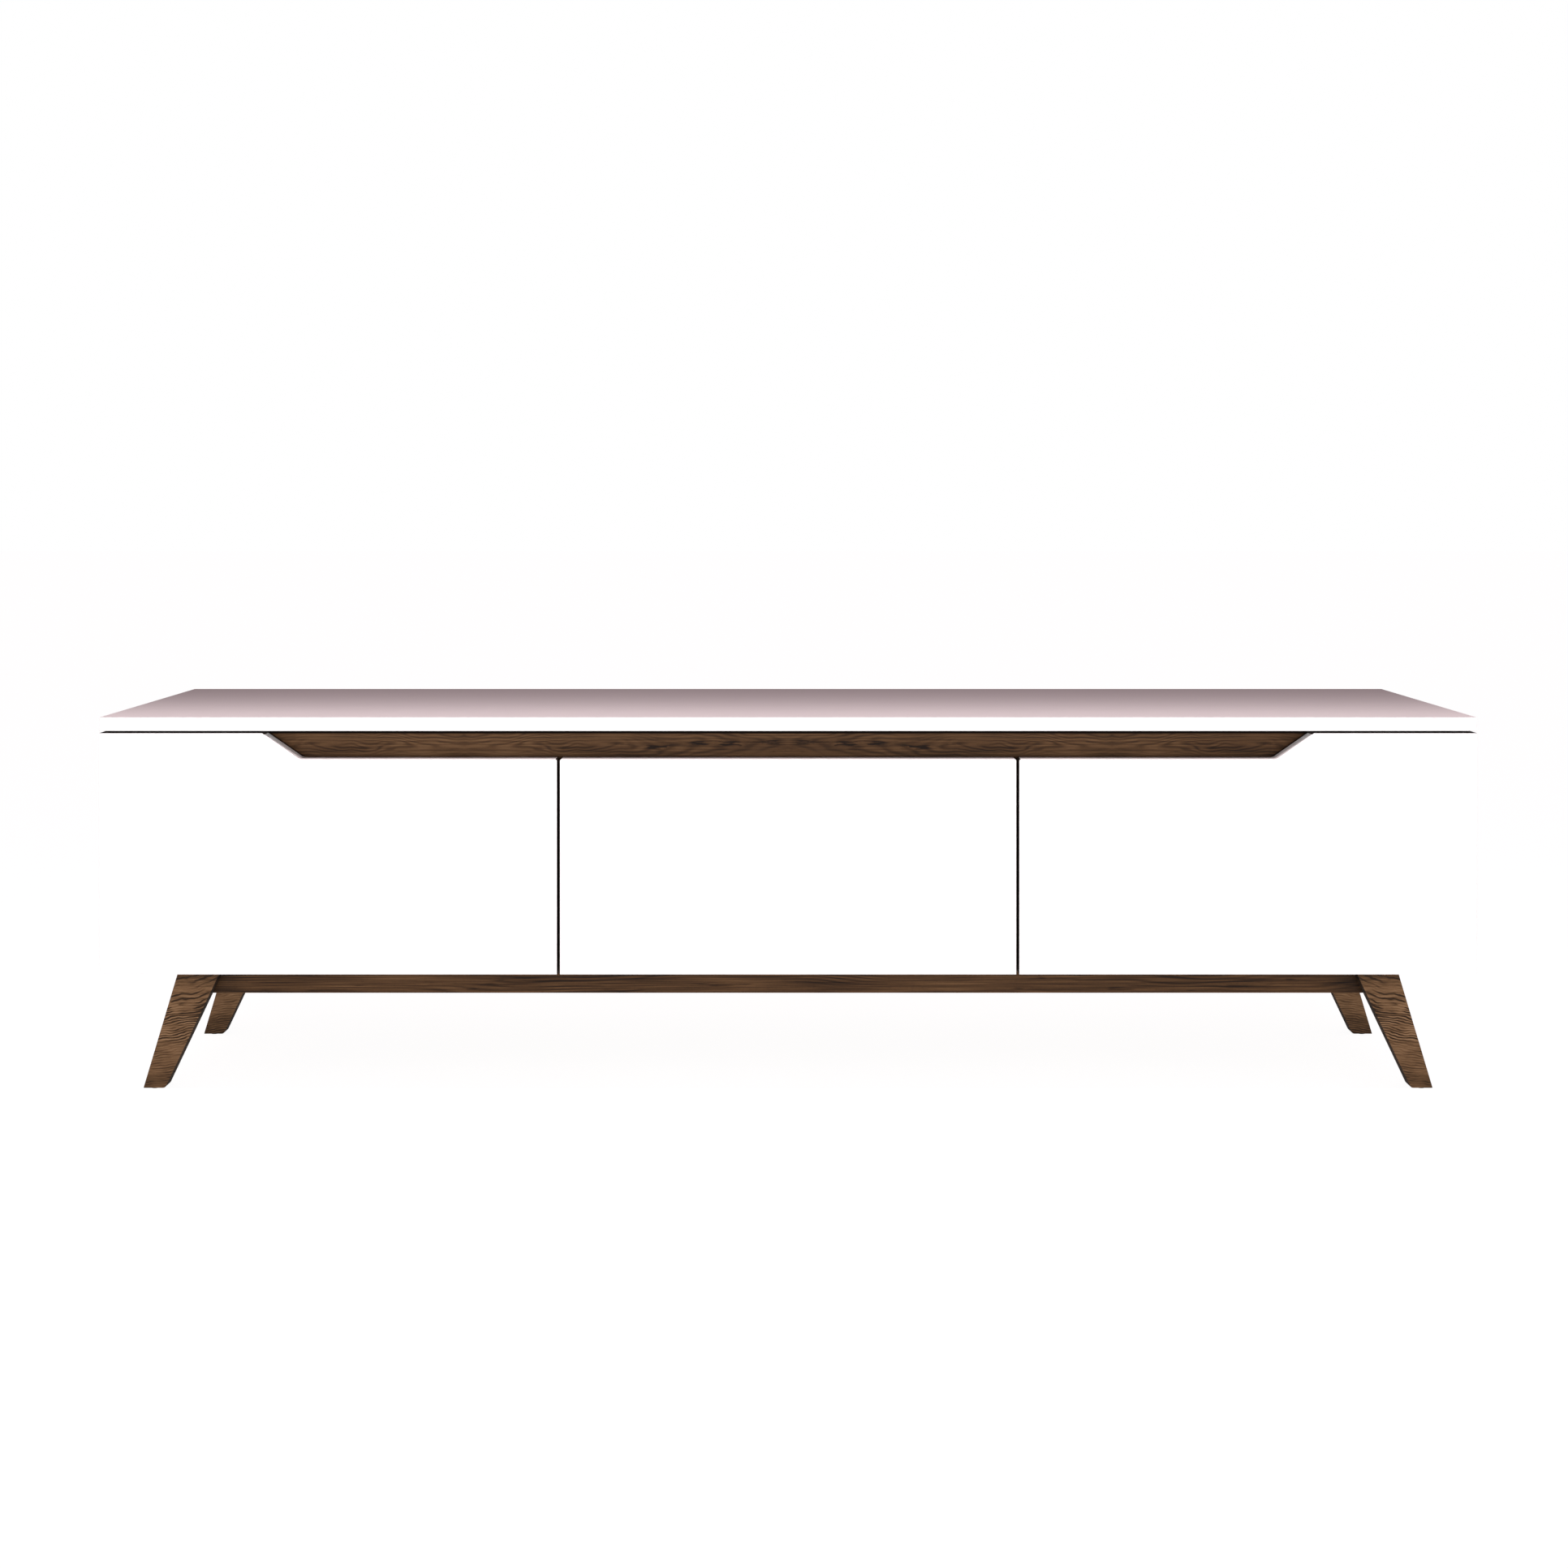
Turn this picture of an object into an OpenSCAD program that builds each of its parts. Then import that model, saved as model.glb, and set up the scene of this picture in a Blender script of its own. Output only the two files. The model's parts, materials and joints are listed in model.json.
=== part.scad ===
// Low media cabinet: a white lacquered box with three drop-down doors on a walnut base frame.
// The origin is on the floor below the middle of the cabinet. +X runs along the width, and the
// doors face -Y. All sizes are in millimetres.

/* [Cabinet] */
// Overall width
cabinet_w = 1800; // [1760:10:1900]
// Overall depth, from the door faces to the back edge
cabinet_d = 350; // [340:5:400]
// Overall height above the floor
cabinet_h = 492; // [480:1:520]
// Height of the underside of the box above the floor
leg_h = 156; // [145:1:165]
// Thickness of the boards
board_t = 18; // [18:0.5:19]
// Thickness of the back panels
back_t = 3; // [3:0.5:4]

/* [Doors] */
// Shadow gap between the top panel and the doors
top_gap = 2.5; // [2:0.5:3]
// Gap between neighbouring doors
door_gap = 3; // [2:0.5:4]
// Gap between the closed doors and the front edges of the box
carcass_gap = 2; // [2:0.05:2.2]
// Height of the finger recess, from the top edge of the outer doors
recess_h = 34; // [28:1:36]
// Half of the width of the recess along its lower edge
recess_half_w = 638; // [600:1:650]
// Sideways run of the slanted end of the recess
recess_run = 49; // [40:1:55]
// Radius of the lower corners of the recess
recess_r = 12; // [6:1:20]
// Radius of the doors' corners where two doors meet under the recess
door_corner_r = 2.5; // [1:0.5:4]

/* [Legs] */
// Distance from the end of the box to the outer corner of a foot
foot_inset = 50; // [40:1:60]
// Width of a leg at the floor
foot_w = 28.5; // [24:0.5:34]
// Distance from the end of the box to the outer corner of a leg's top
leg_top_inset = 96.5; // [92:0.5:100]
// Width of a leg at its top
leg_top_w = 56; // [52:0.5:60]
// Radius of the inner lower corner of a leg
foot_r = 5; // [3:1:9]
// Front face of the back legs, measured from the middle of the depth
back_leg_y = 73; // [60:1:80]
// Height of the base rails
base_rail_h = 35; // [32:1:40]
// Height of the plastic glides below the legs
glide_h = 1; // [1:0.5:2]

/* [Handle rail] */
// Height of the walnut rail behind the recess
rail_h = 60; // [56:1:64]

/* [Cable slots] */
// Length of a cable slot in a back panel
slot_w = 110; // [80:5:140]
// Height of a cable slot in a back panel
slot_h = 44; // [36:2:50]

/* [Hidden] */
$fn = 48;
eps = 0.01;

// Planes of the box
half_w = cabinet_w / 2;
front_y = -cabinet_d / 2;
back_y = cabinet_d / 2;
top_z = cabinet_h - board_t;
floor_z = leg_h + board_t;
door_back_y = front_y + board_t;
carcass_y = door_back_y + carcass_gap;
rail_back_y = carcass_y + board_t;
rail_z = top_z - rail_h;
inner_x = half_w - board_t;
back_face_y = back_y - back_t;
rebate = board_t / 2;
divider_x = cabinet_w / 6;
door_top_z = top_z - top_gap;
ledge_z = door_top_z - recess_h;

// Base frame
leg_y = carcass_y;
base_rail_z = leg_h - base_rail_h;
base_rail_half_w = half_w - 115;
front_rail_y = leg_y + board_t;
back_rail_y = back_leg_y - board_t;
cross_rail_x = half_w - 201;
leg_bolt_spots = [[half_w - 134, leg_h - 9], [half_w - 126, leg_h - 26]];
bolt_r = 3;
bolt_in_leg = 12;
bolt_head_r = 5.5;
bolt_head_h = 3;
glide_r = 7;
glide_pin_r = 1.2;
glide_pin_h = 12;
base_screw_r = 2.25;
base_screw_grip = 20;
base_screw_bite = 12;
base_screw_head_r = 4.4;
base_screw_head_h = 2.6;
base_screw_well_r = 5;
base_screw_x = 340;

// Cam fittings and dowels: distances are measured from the face where two boards meet
cam_r = 7.5;
cam_centre = 34;
cam_bolt_r = 3.5;
cam_depth = board_t / 2 + cam_bolt_r + 0.5;
cam_channel_r = 3.6;
cam_bolt_thread_r = 3;
cam_bolt_thread_h = 10;
cam_bolt_neck_r = 1.8;
cam_bolt_head_r = 3.2;
cam_bolt_head_h = 4;
dowel_r = 4;
dowel_in_face = 12;
dowel_in_edge = 18;
cam_ys = [front_y + 55, back_y - 50];
dowel_ys = [front_y + 100, front_y + 185, back_y - 90];
rail_cam_z = top_z - 20;
rail_dowel_z = rail_z + 14;
rail_divider_dowel_z = rail_z + 11;

// Small countersunk wood screws
screw_r = 1.75;
screw_head_r = 3.3;
screw_head_h = 1.8;
screw_h = 13;
screw_tip_h = 2;
drive_w = 0.9;
drive_l = 3.6;
drive_h = 1;

// Nails of the back panels
nail_r = 0.7;
nail_head_r = 2;
nail_head_h = 0.8;
nail_h = 18;
back_joint = 0.5;

// Butt hinges
hinge_y = door_back_y + carcass_gap / 2;
hinge_z = leg_h - 2.4;
hinge_l = 60;
hinge_leaf_t = carcass_gap / 2 - 0.1;
hinge_leaf_h = 18;
knuckle_r = 2.2;
knuckle_clear = 2.6;
knuckle_count = 5;
knuckle_gap = 0.2;
pin_r = 1.15;
pin_running_clear = 0.05;
pin_head_r = 1.8;
pin_head_h = 0.8;
hinge_screw_z = leg_h + 10;
hinge_screw_dx = 22;
outer_hinge_xs = [divider_x + 100, half_w - 195];
centre_hinge_xs = [-180, 180];

// Brake stays: the lever stays parallel to the line from the hinge to the bracket's pivot
stay_bracket_y = 15;
stay_arm_z = 115;
stay_back_y = 80;
stay_back_z = 60;
bracket_pivot = [door_back_y + stay_bracket_y, hinge_z + stay_arm_z];
housing_pivot = [hinge_y + stay_back_y, hinge_z + stay_back_z];
link_pivot = housing_pivot + bracket_pivot - [hinge_y, hinge_z];
arm_r = 8;
arm_half_w = 6.5;
arm_t = 2.5;
layer_gap = 0.3;
housing_t = 12;
lever_x = housing_t + layer_gap;
link_x = lever_x + arm_t + layer_gap;
drum_r = 17;
boss_r = 4;
boss_head_r = 6.5;
rivet_r = 3;
rivet_head_r = 4.5;
rivet_head_h = 1.2;
running_clear = 0.05;
open_clear = 0.1;
flange_t = 4;
flange_front = 30;
flange_back = 54;
flange_h = 28;
flange_screw_ys = [-24, 47];
body_l = 38;
body_h = 20;
body_t = 10;
bracket_plate_t = 2;
bracket_plate_x = [4, 36];
bracket_plate_h = 46;
bracket_screw_x = 27;
bracket_screw_dz = 15;
ear_h = 24;

// Magnetic catches, strike plates and bumpers
catch_z = rail_z + 11.5;
catch_dx = 150;
catch_r = 5;
catch_out = 0.8;
catch_in = 12;
strike_r = 6.5;
strike_t = 1;
bumper_r = 3.5;
bumper_t = carcass_gap - 0.2;
outer_bumpers = [[inner_x + board_t / 2, door_top_z - 16], [divider_x + 5.2, rail_z - 14]];
centre_bumper = [divider_x - 4.8, rail_z - 14];

// Cable slots
slot_z = leg_h + 80;

WHITE = "#f3f2f0";
FIBREBOARD = "#8f6f50";
WALNUT = "#6b4a33";
DARK_WALNUT = "#523828";
STEEL = "#a9abad";
ZINC = "#8e9092";
BEECH = "#c9a77a";
RUBBER = "#2b2b2c";

// Points of an arc from angle a0 to angle a1
function arc(centre, r, a0, a1, steps = 8) = [
    for (i = [0:steps])
        let (a = a0 + (a1 - a0) * i / steps)
            centre + r * [cos(a), sin(a)]
];

// A block given by its lowest and highest corners
module block(low, high) {
    translate(low) cube(high - low);
}

// A flat outline in X and Z, extruded along Y from y0 to y1
module slab_xz(y0, y1) {
    translate([0, y1, 0]) rotate([90, 0, 0]) linear_extrude(y1 - y0) children();
}

// A flat outline in Y and Z, extruded along X from x0 to x1
module slab_yz(x0, x1) {
    translate([x0, 0, 0]) rotate([90, 0, 90]) linear_extrude(x1 - x0) children();
}

// Puts children at a point, with their Z along z_dir and their Y along y_dir
module aim(point, z_dir, y_dir) {
    x_dir = cross(y_dir, z_dir);
    multmatrix([
        [x_dir[0], y_dir[0], z_dir[0], point[0]],
        [x_dir[1], y_dir[1], z_dir[1], point[1]],
        [x_dir[2], y_dir[2], z_dir[2], point[2]],
        [0, 0, 0, 1]
    ]) children();
}

// A rod along Y
module rod_y(x, z, y0, y1, r) {
    aim([x, y0, z], [0, 1, 0], [0, 0, 1]) cylinder(h = y1 - y0, r = r);
}

// A rod along X, used in the frame of a stay, where X is the distance from the wall
module rod_x(pivot, x0, x1, r) {
    aim([x0, pivot[0], pivot[1]], [1, 0, 0], [0, 1, 0]) cylinder(h = x1 - x0, r = r);
}

// Repeats children on both ends of the cabinet
module both_ends() {
    children();
    mirror([1, 0, 0]) children();
}

/* Places of the fittings. kind is "cam" or "dowel". */

// Ends of the bottom panel against the side panels, cams from below
module bottom_end_places(kind) {
    for (s = [-1, 1]) {
        for (y = kind == "cam" ? cam_ys : dowel_ys) {
            aim([s * inner_x, y, leg_h + board_t / 2], [-s, 0, 0], [0, 0, -1]) children();
        }
    }
}

// Top edges of the side panels below the top panel, cams from inside
module side_top_places(kind) {
    for (s = [-1, 1]) {
        for (y = kind == "cam" ? cam_ys : dowel_ys) {
            aim([s * (inner_x + board_t / 2), y, top_z], [0, 0, -1], [-s, 0, 0]) children();
        }
    }
}

// Top edges of the dividers
module divider_top_places(kind) {
    for (s = [-1, 1]) {
        for (y = kind == "cam" ? cam_ys : [dowel_ys[0], dowel_ys[2]]) {
            aim([s * divider_x, y, top_z], [0, 0, -1], [s, 0, 0]) children();
        }
    }
}

// Bottom edges of the dividers
module divider_bottom_places(kind) {
    for (s = [-1, 1]) {
        for (y = kind == "cam" ? cam_ys : [dowel_ys[0], dowel_ys[2]]) {
            aim([s * divider_x, y, floor_z], [0, 0, 1], [s, 0, 0]) children();
        }
    }
}

// Ends of the handle rail against the side panels, cams from behind
module rail_end_places(kind) {
    for (s = [-1, 1]) {
        z = kind == "cam" ? rail_cam_z : rail_dowel_z;
        aim([s * inner_x, carcass_y + board_t / 2, z], [-s, 0, 0], [0, 1, 0]) children();
    }
}

// Dowels from the handle rail into the dividers, below the dividers' cams
module rail_divider_places() {
    for (s = [-1, 1]) {
        aim([s * divider_x, rail_back_y, rail_divider_dowel_z], [0, 1, 0], [0, 0, 1]) children();
    }
}

// Dowels between the cross rails and the long base rails
module base_dowel_places() {
    for (s = [-1, 1]) {
        for (z = [base_rail_z + 9, leg_h - 9]) {
            aim([s * cross_rail_x, front_rail_y + board_t, z], [0, 1, 0], [0, 0, 1]) children();
            aim([s * cross_rail_x, back_rail_y, z], [0, -1, 0], [0, 0, 1]) children();
        }
    }
}

// Bolts that hold the legs on the long base rails
module leg_bolt_places() {
    both_ends() {
        for (spot = leg_bolt_spots) {
            aim([spot[0], front_rail_y + board_t, spot[1]], [0, 1, 0], [0, 0, 1]) children();
            aim([spot[0], back_rail_y, spot[1]], [0, -1, 0], [0, 0, 1]) children();
        }
    }
}

// Screws that hold the base frame below the bottom panel
module base_screw_places() {
    for (y = [front_rail_y + board_t / 2, back_rail_y + board_t / 2]) {
        for (x = [-base_screw_x, 0, base_screw_x]) {
            translate([x, y, leg_h]) children();
        }
    }
    for (s = [-1, 1]) {
        translate([s * cross_rail_x, (front_rail_y + back_rail_y + board_t) / 2, leg_h]) children();
    }
}

// Glides under the four legs
module glide_places() {
    for (s = [-1, 1]) {
        for (y = [leg_y + board_t / 2, back_leg_y + board_t / 2]) {
            translate([s * (half_w - foot_inset - foot_w / 2), y, 0]) children();
        }
    }
}

// Hinge centres of one door: 0 is left, 1 is centre, 2 is right
function hinge_xs(door) =
    door == 1 ? centre_hinge_xs : [for (x = outer_hinge_xs) (door - 1) * x];

// Outer faces of hinge leaves: side is -1 on a door and 1 on the box
module hinge_screw_places(door, side) {
    for (x = hinge_xs(door)) {
        for (dx = [-hinge_screw_dx, 0, hinge_screw_dx]) {
            aim([x + dx, hinge_y + side * 0.1, hinge_screw_z], [0, -side, 0], [0, 0, 1]) children();
        }
    }
}

// Frame of one stay: X is the distance from the wall that carries the housing
module at_stay(door) {
    if (door == 0) {
        translate([-inner_x, 0, 0]) children();
    }
    if (door == 1) {
        translate([-divider_x + board_t / 2, 0, 0]) children();
    }
    if (door == 2) {
        mirror([1, 0, 0]) translate([-inner_x, 0, 0]) children();
    }
}

// Screws of a stay housing, in the frame of the stay
module housing_screw_places() {
    for (dy = flange_screw_ys) {
        aim([flange_t, housing_pivot[0] + dy, housing_pivot[1]], [1, 0, 0], [0, 1, 0]) children();
    }
}

// Screws of a stay bracket, in the frame of the stay
module bracket_screw_places() {
    for (dz = [-bracket_screw_dz, bracket_screw_dz]) {
        aim([bracket_screw_x, door_back_y + bracket_plate_t, bracket_pivot[1] + dz],
            [0, 1, 0], [0, 0, 1]) children();
    }
}

// Middles of the catches of one door, on the face given by y
module catch_places(door, y) {
    for (dx = [-catch_dx, catch_dx]) {
        aim([(door - 1) * 2 * divider_x + dx, y, catch_z], [0, 1, 0], [0, 0, 1]) children();
    }
}

// All screws of one door panel
module door_screw_places(door) {
    hinge_screw_places(door, -1) children();
    at_stay(door) bracket_screw_places() children();
    catch_places(door, door_back_y + strike_t) children();
}

// Back panels: 0 is left, 1 is centre, 2 is right
function back_span(panel) = panel == 1
    ? [-divider_x + back_joint / 2, divider_x - back_joint / 2]
    : [divider_x + back_joint / 2, inner_x + rebate];

// Nails of one back panel, in the row of its bottom, its top and its two ends
module nail_places(panel) {
    span = back_span(panel);
    middle = (span[0] + span[1]) / 2;
    rows = [for (dx = [-200, 0, 200], z = [leg_h + board_t / 2, top_z + rebate / 2]) [middle + dx, z]];
    ends = [for (x = [span[0] + rebate / 2, span[1] - rebate / 2], z = [210, 310, 410]) [x, z]];
    for (spot = concat(rows, ends)) {
        aim([spot[0], back_y, spot[1]], [0, 1, 0], [0, 0, 1]) children();
    }
}

/* Shapes of the fittings, each at the origin of its place */

// Cam lock body, let into the face that Y points out of
module cam_body() {
    aim([0, board_t / 2 - cam_depth, cam_centre], [0, 1, 0], [0, 0, 1]) {
        cylinder(h = cam_depth, r = cam_r);
    }
}

// Connecting bolt, screwed into one board and caught by the cam of the other
module cam_bolt() {
    neck_z = cam_centre - cam_r;
    head_z = cam_centre - cam_bolt_head_h / 2;
    translate([0, 0, -cam_bolt_thread_h]) cylinder(h = cam_bolt_thread_h, r = cam_bolt_thread_r);
    cylinder(h = neck_z, r = cam_bolt_r);
    translate([0, 0, neck_z - eps]) cylinder(h = head_z - neck_z + 2 * eps, r = cam_bolt_neck_r);
    translate([0, 0, head_z]) cylinder(h = cam_bolt_head_h, r = cam_bolt_head_r);
}

// Channel through which the bolt enters the cam
module cam_channel() {
    translate([0, 0, cam_centre - cam_r - 1]) {
        cylinder(h = cam_r + cam_bolt_head_h / 2 + 2, r = cam_channel_r);
    }
}

// Everything that a cam joint removes from the two boards
module cam_cut() {
    cam_body();
    translate([0, 0, -cam_bolt_thread_h]) cylinder(h = cam_bolt_thread_h, r = cam_bolt_thread_r);
    cylinder(h = cam_centre - cam_r + 1, r = cam_bolt_r);
}

// Cam lock with its cross slot
module cam_lock() {
    difference() {
        cam_body();
        cam_channel();
        translate([0, board_t / 2, cam_centre]) {
            cube([8, 3, 1.6], center = true);
            cube([1.6, 3, 8], center = true);
        }
    }
}

module dowel() {
    translate([0, 0, -dowel_in_face]) cylinder(h = dowel_in_face + dowel_in_edge, r = dowel_r);
}

// Countersunk screw with its head at the origin and its point towards -Z
module screw_body() {
    rotate_extrude() {
        polygon([
            [0, 0], [screw_head_r, 0], [screw_r, -screw_head_h], [screw_r, screw_tip_h - screw_h],
            [0, -screw_h]
        ]);
    }
}

module screw() {
    difference() {
        screw_body();
        for (a = [0, 90]) {
            rotate([0, 0, a]) {
                block([-drive_l / 2, -drive_w / 2, -drive_h], [drive_l / 2, drive_w / 2, 1]);
            }
        }
    }
}

// Leg bolt: Z points from the rail's inner face away from the leg
module leg_bolt_body() {
    translate([0, 0, -board_t - bolt_in_leg]) cylinder(h = board_t + bolt_in_leg, r = bolt_r);
    cylinder(h = bolt_head_h, r = bolt_head_r);
}

module leg_bolt() {
    difference() {
        leg_bolt_body();
        translate([0, 0, bolt_head_h - 2]) cylinder(h = 3, r = 2.3, $fn = 6);
    }
}

// Screw from a base rail up into the bottom panel
module base_screw() {
    translate([0, 0, -base_screw_grip]) {
        cylinder(h = base_screw_grip + base_screw_bite, r = base_screw_r);
    }
    translate([0, 0, -base_screw_grip - base_screw_head_h]) {
        difference() {
            cylinder(h = base_screw_head_h + eps, r = base_screw_head_r);
            for (a = [0, 90]) {
                rotate([0, 0, a]) cube([5.2, 1.1, 3], center = true);
            }
        }
    }
}

module base_screw_cut() {
    translate([0, 0, -base_screw_grip]) {
        cylinder(h = base_screw_grip + base_screw_bite, r = base_screw_r);
    }
    translate([0, 0, -2 * base_rail_h]) {
        cylinder(h = 2 * base_rail_h - base_screw_grip, r = base_screw_well_r);
    }
}

// Nail with its head flush at the origin and its point towards -Z
module nail() {
    translate([0, 0, -nail_h]) cylinder(h = nail_h, r = nail_r);
    translate([0, 0, -nail_head_h]) cylinder(h = nail_head_h, r = nail_head_r);
}

module glide() {
    cylinder(h = glide_h, r = glide_r);
    cylinder(h = glide_h + glide_pin_h, r = glide_pin_r);
}

/* Box */

module top_panel() {
    color(WHITE) difference() {
        block([-half_w, front_y, top_z], [half_w, back_y, cabinet_h]);
        block([-inner_x - rebate, back_face_y, top_z - 1], [inner_x + rebate, back_y + 1, top_z + rebate]);
        side_top_places("cam") cam_cut();
        side_top_places("dowel") dowel();
        divider_top_places("cam") cam_cut();
        divider_top_places("dowel") dowel();
        both_ends() nail_places(2) nail();
        nail_places(1) nail();
    }
}

module bottom_panel() {
    color(WALNUT) difference() {
        block([-inner_x, carcass_y, leg_h], [inner_x, back_face_y, floor_z]);
        bottom_end_places("cam") cam_cut();
        bottom_end_places("dowel") dowel();
        divider_bottom_places("cam") cam_cut();
        divider_bottom_places("dowel") dowel();
        base_screw_places() base_screw_cut();
        for (door = [0:2]) {
            hinge_screw_places(door, 1) screw_body();
        }
        both_ends() nail_places(2) nail();
        nail_places(1) nail();
    }
}

module right_side() {
    color(WHITE) difference() {
        block([inner_x, carcass_y, leg_h], [half_w, back_y, top_z]);
        block([inner_x - 1, back_face_y, leg_h - 1], [inner_x + rebate, back_y + 1, top_z + 1]);
        bottom_end_places("cam") cam_cut();
        bottom_end_places("dowel") dowel();
        side_top_places("cam") cam_cut();
        side_top_places("dowel") dowel();
        rail_end_places("cam") cam_cut();
        rail_end_places("dowel") dowel();
        at_stay(2) housing_screw_places() screw_body();
        nail_places(2) nail();
    }
}

module left_side_panel() {
    mirror([1, 0, 0]) right_side();
}

module right_side_panel() {
    right_side();
}

// Divider with the notch that takes the handle rail: side is -1 on the left and 1 on the right
module divider(side) {
    x = side * divider_x;
    color(WALNUT) difference() {
        block([x - board_t / 2, carcass_y, floor_z], [x + board_t / 2, back_face_y, top_z]);
        block([x - board_t, carcass_y - 1, rail_z], [x + board_t, rail_back_y, top_z + 1]);
        divider_top_places("cam") cam_cut();
        divider_top_places("dowel") dowel();
        divider_bottom_places("cam") cam_cut();
        divider_bottom_places("dowel") dowel();
        rail_divider_places() dowel();
        if (side < 0) {
            at_stay(1) housing_screw_places() screw_body();
        }
        both_ends() nail_places(2) nail();
        nail_places(1) nail();
    }
}

module left_divider() {
    divider(-1);
}

module right_divider() {
    divider(1);
}

module handle_rail() {
    color(DARK_WALNUT) difference() {
        block([-inner_x, carcass_y, rail_z], [inner_x, rail_back_y, top_z]);
        rail_end_places("cam") cam_cut();
        rail_end_places("dowel") dowel();
        rail_divider_places() dowel();
        for (door = [0:2]) {
            catch_places(door, carcass_y) translate([0, 0, -1]) cylinder(h = catch_in + 1, r = catch_r);
        }
    }
}

// Thin back panel with a rounded slot for cables
module back_panel(panel) {
    span = back_span(panel);
    middle = (span[0] + span[1]) / 2;
    color(FIBREBOARD) difference() {
        block([span[0], back_face_y, leg_h], [span[1], back_y, top_z + rebate]);
        slab_xz(back_face_y - 1, back_y + 1) {
            translate([middle, slot_z]) {
                square([slot_w - slot_h, slot_h], center = true);
                translate([(slot_h - slot_w) / 2, 0]) circle(d = slot_h);
                translate([(slot_w - slot_h) / 2, 0]) circle(d = slot_h);
            }
        }
        nail_places(panel) nail();
    }
}

module left_back_panel() {
    mirror([1, 0, 0]) back_panel(2);
}

module centre_back_panel() {
    back_panel(1);
}

module right_back_panel() {
    back_panel(2);
}

/* Base frame */

// Tapered board leg that leans outwards: y is its front face
module right_leg(y) {
    top_x = half_w - leg_top_inset;
    foot_x = half_w - foot_inset;
    outer_slope = (foot_x - top_x) / leg_h;
    inner_slope = (foot_x - foot_w - top_x + leg_top_w) / leg_h;
    lean = atan(inner_slope);
    foot_inner_x = foot_x - foot_w - inner_slope * glide_h;
    corner_centre = [foot_inner_x + foot_r * tan((90 - lean) / 2), glide_h + foot_r];
    color(WALNUT) difference() {
        slab_xz(y, y + board_t) {
            polygon(concat(
                arc(corner_centre, foot_r, lean - 180, -90),
                [
                    [foot_x - outer_slope * glide_h, glide_h],
                    [top_x, leg_h],
                    [top_x - leg_top_w, leg_h]
                ]
            ));
        }
        leg_bolt_places() leg_bolt_body();
        glide_places() glide();
    }
}

module front_left_leg() {
    mirror([1, 0, 0]) right_leg(leg_y);
}

module front_right_leg() {
    right_leg(leg_y);
}

module back_left_leg() {
    mirror([1, 0, 0]) right_leg(back_leg_y);
}

module back_right_leg() {
    right_leg(back_leg_y);
}

module long_base_rail(y) {
    color(DARK_WALNUT) difference() {
        block([-base_rail_half_w, y, base_rail_z], [base_rail_half_w, y + board_t, leg_h]);
        leg_bolt_places() leg_bolt_body();
        base_dowel_places() dowel();
        base_screw_places() base_screw_cut();
    }
}

module front_base_rail() {
    long_base_rail(front_rail_y);
}

module back_base_rail() {
    long_base_rail(back_rail_y);
}

module right_cross() {
    color(DARK_WALNUT) difference() {
        block([cross_rail_x - board_t / 2, front_rail_y + board_t, base_rail_z],
            [cross_rail_x + board_t / 2, back_rail_y, leg_h]);
        base_dowel_places() dowel();
        base_screw_places() base_screw_cut();
    }
}

module left_cross_rail() {
    mirror([1, 0, 0]) right_cross();
}

module right_cross_rail() {
    right_cross();
}

module leg_glides() {
    color(RUBBER) glide_places() glide();
}

/* Fasteners */

module leg_bolts() {
    color(ZINC) leg_bolt_places() leg_bolt();
}

module base_screws() {
    color(ZINC) base_screw_places() base_screw();
}

module cam_locks() {
    color(ZINC) {
        bottom_end_places("cam") cam_lock();
        side_top_places("cam") cam_lock();
        divider_top_places("cam") cam_lock();
        divider_bottom_places("cam") cam_lock();
        rail_end_places("cam") cam_lock();
    }
}

module cam_bolts() {
    color(STEEL) {
        bottom_end_places("cam") cam_bolt();
        side_top_places("cam") cam_bolt();
        divider_top_places("cam") cam_bolt();
        divider_bottom_places("cam") cam_bolt();
        rail_end_places("cam") cam_bolt();
    }
}

module dowels() {
    color(BEECH) {
        bottom_end_places("dowel") dowel();
        side_top_places("dowel") dowel();
        divider_top_places("dowel") dowel();
        divider_bottom_places("dowel") dowel();
        rail_end_places("dowel") dowel();
        rail_divider_places() dowel();
        base_dowel_places() dowel();
    }
}

module back_nails() {
    color(STEEL) {
        both_ends() nail_places(2) nail();
        nail_places(1) nail();
    }
}

module frame_screws() {
    color(ZINC) {
        for (door = [0:2]) {
            hinge_screw_places(door, 1) screw();
            at_stay(door) housing_screw_places() screw();
        }
    }
}

/* Hinges: each is built round its pin, with X along the pin */

// Knuckles with an even number belong to the box, and the others to the door
module knuckle_spans(first) {
    pitch = hinge_l / knuckle_count;
    for (i = [first:2:knuckle_count - 1]) {
        x0 = -hinge_l / 2 + i * pitch;
        slab_yz(x0 + knuckle_gap / 2, x0 + pitch - knuckle_gap / 2) children();
    }
}

// One leaf: side is 1 on the box and -1 on the door, and first is the number of its first knuckle
module hinge_leaf(side, first, bore_r) {
    y0 = side > 0 ? 0.1 : -0.1 - hinge_leaf_t;
    difference() {
        union() {
            block([-hinge_l / 2, y0, knuckle_clear], [hinge_l / 2, y0 + hinge_leaf_t, hinge_leaf_h]);
            knuckle_spans(first) {
                difference() {
                    union() {
                        circle(r = knuckle_r);
                        translate([y0, 0]) square([hinge_leaf_t, knuckle_clear + eps]);
                    }
                    circle(r = bore_r);
                }
            }
        }
    }
}

module at_hinges(door) {
    for (x = hinge_xs(door)) {
        translate([x, hinge_y, hinge_z]) children();
    }
}

module frame_hinge_leaves() {
    color(STEEL) difference() {
        for (door = [0:2]) {
            at_hinges(door) hinge_leaf(1, 0, pin_r + pin_running_clear);
        }
        for (door = [0:2]) {
            hinge_screw_places(door, 1) screw_body();
        }
    }
}

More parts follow.
